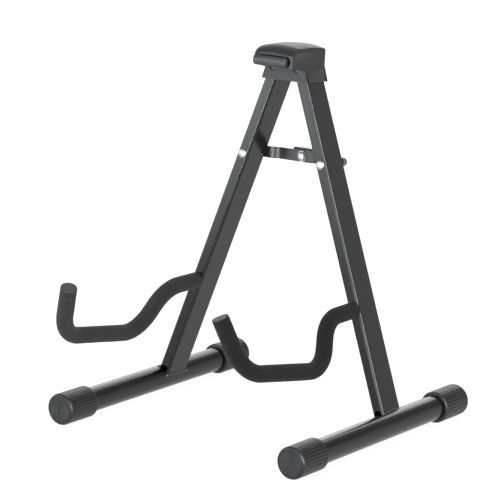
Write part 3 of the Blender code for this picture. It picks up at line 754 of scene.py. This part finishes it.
def make_cap(materials, side, end, outwards, place_at):
    """A ribbed cap with a round shoulder and a turned disc set in its outer end."""
    low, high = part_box(f"{side}_{end}_cap")
    tip = low[1] if outwards < 0 else high[1]
    stations = [(CAP_LENGTH - in_from_mouth * MM, inset, depth) for in_from_mouth, inset, depth in CAP_MOUTH]
    stations += [(along * MM, inset, depth) for along, inset, depth in CAP_BARREL]
    stations += [(along * MM, inset, 0.0) for along, inset in CAP_SHOULDER]
    rings = []
    for along, inset, depth in stations:
        rings.append(ribbed_ring(CAP_RADIUS - inset * MM, CAP_GROOVE * depth, tip - outwards * along))
    cap = to_object(f"{side}_{end}_foot_cap", loft(rings), place_at)
    mouth = tip - outwards * (CAP_LENGTH + OVERCUT)
    floor = tip - outwards * CAP_END_WALL
    radius = FOOT_TUBE_RADIUS + 0.25 * MM
    carve(cap, [(turned([(radius, mouth), (radius, floor)], 72), place_at)])
    finish_piece(cap, f"{side}_leg", materials["cap_rubber"], [f"{side}_{end}_cap"], 32)
    disc = turned([(reach * MM, tip - outwards * back * MM) for reach, back in DISC_SECTION], 72)
    piece(
        f"{side}_{end}_cap_disc", disc, place_at, f"{side}_leg", materials["cap_disc"], (), 25,
    )


# Cradle arms


def filleted_path(corners, radii, steps, spacing):
    """A planar path of straight runs joined by arcs, with evenly spaced points."""
    corners = [Vector(corner) for corner in corners]
    path = [corners[0]]
    for before, corner, after, radius in zip(corners, corners[1:], corners[2:], radii):
        arriving = (corner - before).normalized()
        leaving = (after - corner).normalized()
        turn = arriving.angle(leaving)
        sense = math.copysign(1, arriving.x * leaving.y - arriving.y * leaving.x)
        start = corner - arriving * radius * math.tan(turn / 2)
        to_centre = Vector((-arriving.y, arriving.x)) * sense * radius
        for step in range(steps + 1):
            swing = Matrix.Rotation(sense * turn * step / steps, 2)
            path.append(start + to_centre - swing @ to_centre)
    path.append(corners[-1])
    even = [path[0]]
    for first, second in zip(path, path[1:]):
        parts = max(1, round((second - first).length / spacing))
        even += [first.lerp(second, part / parts) for part in range(1, parts + 1)]
    return even


def cradle_path():
    """The rod's middle line in its leg frame, as (y, z) points, from the leg to the tip."""
    path = filleted_path(CRADLE_CORNERS, CRADLE_BENDS, steps=16, spacing=3.0)
    return [Vector((-LEG_DEPTH / 2 - ahead * MM, up * MM - PIVOT_TO_FOOT)) for ahead, up in path]


def path_frame(path, i):
    along = (path[min(i + 1, len(path) - 1)] - path[max(i - 1, 0)]).normalized()
    return along, Vector((-along.y, along.x))


def swept_ring(point, across, radius, wobble=None):
    ring = []
    for side in range(FOAM_SIDES):
        angle = math.tau * side / FOAM_SIDES
        reach = radius if wobble is None else radius + wobble(angle)
        offset = across * reach * math.sin(angle)
        ring.append(Vector((reach * math.cos(angle), point.x + offset.x, point.y + offset.y)))
    return ring


def foam_swell(i, seed):
    """How far the foam swells at station i, as a function of the angle round it."""
    ring_scale, along_scale, finer = 1.3, 0.14, 3.1
    broad, small = 0.16, 0.08

    def wobble(angle):
        spot = Vector((math.cos(angle) * ring_scale, math.sin(angle) * ring_scale, i * along_scale + seed))
        return (broad * noise.noise(spot) + small * noise.noise(spot * finer)) * MM

    return wobble


def rounded_end(path, i, direction):
    """Rings from the cut face to the full sleeve, at one end of it."""
    along, across = path_frame(path, i)
    rings = []
    for turn in (0, 30, 60, 90):
        inset = FOAM_END_ROUNDING * (1 - math.sin(math.radians(turn)))
        slide = along * direction * FOAM_END_ROUNDING * (1 - math.cos(math.radians(turn)))
        rings.append(swept_ring(path[i] + slide, across, FOAM_SKIN - inset))
    return rings


def make_foam(materials, side):
    """The foam sleeve with the rod's bore through it, and the disc that closes its tip."""
    path = cradle_path()
    last = len(path) - 1
    path_start = (path[1] - path[0]).normalized() * 0.5 * MM
    path_end = (path[-2] - path[-1]).normalized() * (TIP_THICKNESS + 0.1 * MM)
    path[0] += path_start
    path[-1] += path_end
    outside = []
    for i in range(1, last):
        across = path_frame(path, i)[1]
        outside.append(swept_ring(path[i], across, FOAM_SKIN, foam_swell(i, FOAM_SEEDS[side])))
    bore = [swept_ring(p, path_frame(path, i)[1], ROD_RADIUS + 0.3 * MM) for i, p in enumerate(path)]
    rings = rounded_end(path, 0, 1) + outside + rounded_end(path, last, -1)[::-1] + bore[::-1]
    foam = piece(
        f"{side}_foam_sleeve", loft(rings, wrap=True), LEGS[side], f"{side}_leg",
        materials[f"{side}_foam"], [f"{side}_cradle_foam"], 60,
    )
    make_arm_tip(materials, side, (path[-1] - path[-2]).normalized())


def make_arm_tip(materials, side, along):
    tip = cradle_path()[-1]
    across = Vector((-along.y, along.x))
    rings = [swept_ring(tip - along * back * MM, across, radius * MM) for radius, back in TIP_SECTION]
    piece(
        f"{side}_arm_tip", loft(rings), LEGS[side], f"{side}_leg", materials["tip"],
        [f"{side}_cradle_tip"],
    )


# Fasteners


def dome(seat):
    """A dome head's (radius, y) points, from its top to its seat."""
    steps, start = 10, 0.03
    rim, edge = 0.22 * DOME_HEIGHT, 0.12 * MM
    points = []
    for step in range(steps + 1):
        angle = QUARTER * (start + (1 - start) * step / steps)
        points.append((DOME_RADIUS * math.sin(angle), seat - rim - (DOME_HEIGHT - rim) * math.cos(angle)))
    return points + [(DOME_RADIUS, seat - edge), (DOME_RADIUS - edge, seat)]


def washer(rim, front, thickness):
    edge, bore = 0.15 * MM, BOLT_RADIUS + 0.2 * MM
    back = front + thickness
    profile = [(bore, front), (rim - edge, front), (rim, front + edge)]
    profile += [(rim, back - edge), (rim - edge, back), (bore, back)]
    return turned(profile, wrap=True)


def make_fasteners(materials):
    zinc = materials["zinc"]
    for side in SIDES:
        leg, at = f"{side}_leg", upright(BOLTS[side])
        seat = -LEG_BACK - 0.05 * MM
        tail = NUT_FRONT + 4.2 * MM if side == "left" else LEG_BACK - 0.2 * MM
        bolt = dome(seat) + [(BOLT_RADIUS, seat), (BOLT_RADIUS, tail)]
        piece(f"{side}_dome_bolt", turned(bolt), at, leg, zinc, [f"{side}_brace_bolt"])
        holder = leg if side == "left" else "right_link"
        ring = washer(5.6 * MM, LINK_FRONT + LINK_THICK + 0.2 * MM, MM)
        piece(f"{side}_nut_washer", ring, at, holder, zinc, [f"{side}_brace_washer"])
        make_cap_nut(materials, side, holder, at)
        make_pivot_fasteners(materials, side)
    make_rivet(zinc)


def make_rivet(zinc):
    """The rivet in the brace's middle, headed over behind the right strap, and its washer."""
    at = upright(MIDDLE)
    face = LINK_FRONT + LINK_SETBACK["left"] - 0.2 * MM
    ring = washer(5.5 * MM, face - 0.6 * MM, 0.6 * MM)
    piece("rivet_washer", ring, at, "left_link", zinc, ["centre_washer"])
    seat = face - 0.8 * MM
    tail = LINK_FRONT + LINK_SETBACK["right"] + LINK_THICK + 0.2 * MM
    rivet = dome(seat) + [(BOLT_RADIUS, seat), (BOLT_RADIUS, tail)]
    for radius, back in ((4.2, 0.0), (4.2, 0.6), (3.6, 1.2), (2.0, 1.6), (0.5, 1.7)):
        rivet.append((radius * MM, tail + back * MM))
    piece("dome_rivet", turned(rivet), at, "left_link", zinc, ["centre_rivet"])


def make_cap_nut(materials, side, holder, at):
    """A nut with a closed round dome. The right one carries the end of its bolt."""
    rim, length, steps, last_angle = 4.7 * MM, 3.4 * MM, 10, 84
    front = NUT_FRONT
    bolt_end = LINK_FRONT + 0.1 * MM
    if side == "right":
        profile = [(0.2 * MM, bolt_end), (BOLT_RADIUS, bolt_end), (BOLT_RADIUS, front)]
    else:
        profile = [(0.5 * MM, front + 4.6 * MM), (2.7 * MM, front + 4.6 * MM), (2.7 * MM, front)]
    profile += [(4.6 * MM, front), (rim, front + 0.2 * MM), (rim, front + length)]
    radius = rim - 0.2 * MM
    for step in range(steps + 1):
        angle = math.radians(last_angle * step / steps)
        profile.append((radius * math.cos(angle), front + length + radius * math.sin(angle)))
    steel = materials["black_steel"]
    piece(f"{side}_cap_nut", turned(profile), at, holder, steel, [f"{side}_brace_nut"])


def make_pivot_fasteners(materials, side):
    """A pivot bolt with a socket in its head, and a hexagon nut behind the head shell."""
    at = upright(PIVOTS[side])
    face = -HEAD_BACK + 0.9 * MM
    nut_front, nut_back = HEAD_BACK + 0.2 * MM, HEAD_BACK + 4.3 * MM
    bolt = [(1.1 * MM, face + 0.6 * MM), (1.3 * MM, face + 0.1 * MM), (2.4 * MM, face)]
    bolt += [(3.3 * MM, face + 0.12 * MM), (3.5 * MM, face + 0.35 * MM), (3.5 * MM, face + 0.6 * MM)]
    bolt += [(BOLT_RADIUS, face + 0.6 * MM), (BOLT_RADIUS, nut_back - 0.2 * MM)]
    bolt.append((0.8 * BOLT_RADIUS, nut_back + 0.3 * MM))
    steel = materials["black_steel"]
    piece(f"{side}_pivot_screw", turned(bolt), at, "head", steel, [f"{side}_pivot_bolt"])
    bore, corner = 2.6 * MM, 4.6 * MM
    hexagon = turned([(bore, nut_front), (corner, nut_front), (corner, nut_back), (bore, nut_back)], 6, True)
    nut = to_object(f"{side}_hex_nut", hexagon, at)
    slim, wide = 4.15 * MM, 5.2 * MM
    crown = [(slim, nut_front - MM), (wide, nut_front + 0.5 * MM), (wide, nut_back - 0.5 * MM)]
    carve(nut, [(turned(crown + [(slim, nut_back + MM)], 48), at)], "INTERSECT")
    finish_piece(nut, "head", materials["zinc"], [f"{side}_pivot_nut"], 30)


# Brace


def strap_section(half, thick):
    """A flat strap's section, as (depth, height) points with rounded edges."""
    edge, steps = 0.45 * MM, 3
    points = []
    for quarter, (sy, sz) in enumerate([(1, 1), (0, 1), (0, 0), (1, 0)]):
        for step in range(steps + 1):
            angle = QUARTER * (quarter + step / steps)
            y = (thick - edge if sy else edge) + edge * math.cos(angle)
            z = (half - edge if sz else edge - half) + edge * math.sin(angle)
            points.append((y, z))
    return points


def strap_stations(length, beyond):
    """A round-ended strap's outline from its bolt to past its far hole, as (x, half height)."""
    end_steps, run_steps, blunt = 8, 40, 0.94
    end = length + beyond - LINK_HEIGHT
    stations = []
    for step in range(end_steps + 1):
        turn = QUARTER * (0.06 + blunt * step / end_steps)
        stations.append((-LINK_HEIGHT * math.cos(turn), LINK_HEIGHT * math.sin(turn)))
    stations += [(step * end / run_steps, LINK_HEIGHT) for step in range(1, run_steps)]
    for step in range(end_steps + 1):
        turn = QUARTER * (blunt * step / end_steps)
        x = length + beyond - LINK_HEIGHT * (1 - math.sin(turn))
        stations.append((x, LINK_HEIGHT * math.cos(turn)))
    return stations


def make_strap(length, beyond, setback, flip):
    """A joggled strap in its bolt's frame. flip runs it to the left instead of the right."""
    joggle_start, joggle_length, least_half = 10.5 * MM, 11.0 * MM, 0.6 * MM
    rings = []
    for x, half in strap_stations(length, beyond):
        share = min(max((x - joggle_start) / joggle_length, 0.0), 1.0)
        front = LINK_FRONT + setback * share * share * (3 - 2 * share)
        across = -x if flip else x
        section = strap_section(max(half, least_half), LINK_THICK)
        rings.append([(across, front + y, z) for y, z in section])
    return loft(rings)


def make_tab(length):
    """The finger tab: a plate bent back from the left link's top edge."""
    front = LINK_FRONT + LINK_SETBACK["left"]
    foot, top = LINK_HEIGHT - 1.5 * MM, LINK_HEIGHT + 2.5 * MM
    thick, bend, steps = LINK_THICK, 2.6 * MM, 6
    small = bend - thick
    outer = [(front, foot)]
    inner = [(front + thick, foot)]
    for step in range(steps + 1):
        angle = QUARTER * step / steps
        outer.append((front + bend * (1 - math.cos(angle)), top - bend * (1 - math.sin(angle))))
        inner.append((front + bend - small * math.cos(angle), top - bend + small * math.sin(angle)))
    outer.append((front + TAB_DEPTH, top))
    inner.append((front + TAB_DEPTH, top - thick))
    ring = outer + inner[::-1]
    return loft([[(x, y, z) for y, z in ring] for x in (length - TAB_HALF, length + TAB_HALF)])


def tab_corner(length):
    """A cutter for the tab's slanted left back corner."""
    left, right = length - 11.5 * MM, length - 7.0 * MM
    corner = LINK_FRONT + LINK_SETBACK["left"] + TAB_DEPTH
    back, front = corner + MM, corner - 4.5 * MM
    return loft([[(left, back, z), (right, back, z), (left, front, z)] for z in (0.0, 0.02)])


def make_brace(materials):
    length = BOLTS["right"].x
    steel = materials["black_steel"]
    left_at = upright(BOLTS["left"])
    left = make_strap(length, 16.5 * MM, LINK_SETBACK["left"], False)
    piece("left_strap", left, left_at, "left_link", steel, ["left_link"], 40)
    tab = to_object("finger_tab", make_tab(length), left_at)
    carve(tab, [(tab_corner(length), left_at)])
    soften(tab, 0.3 * MM, 40)
    finish_piece(tab, "left_link", steel, (), 35)
    right_at = upright(BOLTS["right"])
    right = make_strap(length, LINK_HEIGHT, LINK_SETBACK["right"], True)
    piece("right_strap", right, right_at, "right_link", steel, ["right_link"], 40)


# Studio


def make_camera():
    azimuth, elevation, roll = math.radians(36.15), math.radians(12.65), math.radians(1.1)
    target, distance = Vector((-0.03218, 0.04481, 0.16684)), 2.72377
    level = math.cos(elevation)
    back = Vector((math.sin(azimuth) * level, -math.cos(azimuth) * level, math.sin(elevation)))
    right = (-back).cross(Vector((0, 0, 1))).normalized()
    up = back.cross(right)
    rolled_right = math.cos(roll) * right + math.sin(roll) * up
    rolled_up = math.cos(roll) * up - math.sin(roll) * right
    data = bpy.data.cameras.new("camera")
    data.sensor_width = 36.0
    data.lens = 194.45
    camera = bpy.data.objects.new("camera", data)
    bpy.context.scene.collection.objects.link(camera)
    turn = Matrix((rolled_right, rolled_up, back)).transposed().to_4x4()
    camera.matrix_world = Matrix.Translation(target + back * distance) @ turn
    bpy.context.scene.camera = camera


def add_area(name, spot, aim, size, brightness, colour=(1, 1, 1), highlights_only=False):
    """A soft box of the given width and height, whose face has the given brightness."""
    data = bpy.data.lights.new(name, "AREA")
    data.shape = "RECTANGLE"
    data.size, data.size_y = size
    data.energy = brightness * size[0] * size[1] * math.pi
    data.color = colour
    light = bpy.data.objects.new(name, data)
    light.location = spot
    light.rotation_euler = (Vector(aim) - Vector(spot)).to_track_quat("-Z", "Y").to_euler()
    light.visible_camera = False
    light.visible_diffuse = not highlights_only
    bpy.context.scene.collection.objects.link(light)


def make_world():
    """White round the horizon, dimmer above it."""
    world = bpy.data.worlds.new("studio")
    bpy.context.scene.world = world
    world.use_nodes = True
    tree = world.node_tree
    coords = node(tree, "ShaderNodeTexCoord").outputs["Generated"]
    parts = node(tree, "ShaderNodeSeparateXYZ")
    tree.links.new(coords, parts.inputs["Vector"])
    ramp = node(tree, "ShaderNodeValToRGB")
    tree.links.new(parts.outputs["Z"], ramp.inputs["Fac"])
    stops = ramp.color_ramp.elements
    white_up_to = 0.22
    stops[0].position, stops[0].color = 0.0, (1, 1, 1, 1)
    stops[1].position, stops[1].color = white_up_to, (1, 1, 1, 1)
    for height, level in ((0.34, 0.4), (0.5, 0.4), (0.7, 0.8)):
        stop = stops.new(height)
        stop.color = (level, level, level, 1)
    tree.links.new(ramp.outputs["Color"], tree.nodes["Background"].inputs["Color"])
    tree.nodes["Background"].inputs["Strength"].default_value = 1.0


def make_floor():
    bpy.ops.mesh.primitive_circle_add(vertices=96, radius=8.0, fill_type="NGON")
    floor = bpy.context.object
    floor.name = "floor"
    pale = bpy.data.materials.new("pale_floor")
    pale.use_nodes = True
    shader = pale.node_tree.nodes["Principled BSDF"]
    shader.inputs["Base Color"].default_value = (0.22, 0.22, 0.22, 1)
    shader.inputs["Roughness"].default_value = 0.9
    shader.inputs["Specular IOR Level"].default_value = 0.2
    shader.inputs["Emission Color"].default_value = (1, 1, 1, 1)
    shader.inputs["Emission Strength"].default_value = 0.9
    floor.data.materials.append(pale)


def make_studio():
    """Large soft boxes, and narrow strips that only give the corners and edges their highlights."""
    bpy.context.scene.view_settings.view_transform = "Standard"
    make_world()
    make_floor()
    cool = (0.93, 0.96, 1.0)
    add_area("back_left_box", (-1.0, 2.0, 1.15), (0, 0, 0.1), (1.9, 1.4), 2.6)
    add_area("left_box", (-2.2, -2.0, 0.6), (0, 0, 0.2), (1.6, 1.3), 5.0, cool)
    add_area("left_sheen", (-0.78, -1.05, 0.36), (0, 0, 0.35), (0.9, 0.7), 2.6, cool, True)
    add_area("near_box", (0.02, -0.58, 0.4), (-0.15, -0.12, 0.1), (0.24, 0.24), 5, cool)
    add_area("right_strip", (2.3, -0.6, 1.0), (0, 0, 0.2), (0.7, 1.7), 42, highlights_only=True)
    add_area("front_strip", (0.45, -2.6, 0.4), (0, 0, 0.2), (0.5, 1.3), 28, cool, True)
    add_area("low_strip", (-0.02, -0.98, 0.01), (-0.02, -0.98, 1.0), (0.34, 0.56), 42, cool, True)


make_camera()
surfaces = {**painted_materials(), **foam_materials(), **moulded_materials(), **metal_materials()}
make_studio()
make_head(surfaces)
make_bumper(surfaces)
for side_name in SIDES:
    make_leg(surfaces, side_name)
    make_welds(surfaces, side_name)
    make_tacks(surfaces, side_name)
    make_foot(surfaces, side_name)
    make_foam(surfaces, side_name)
make_fasteners(surfaces)
make_brace(surfaces)
for cad in frame["nodes"].values():
    if not cad.hide_render:
        for material_slot in cad.material_slots:
            material_slot.material = surfaces["steel"]
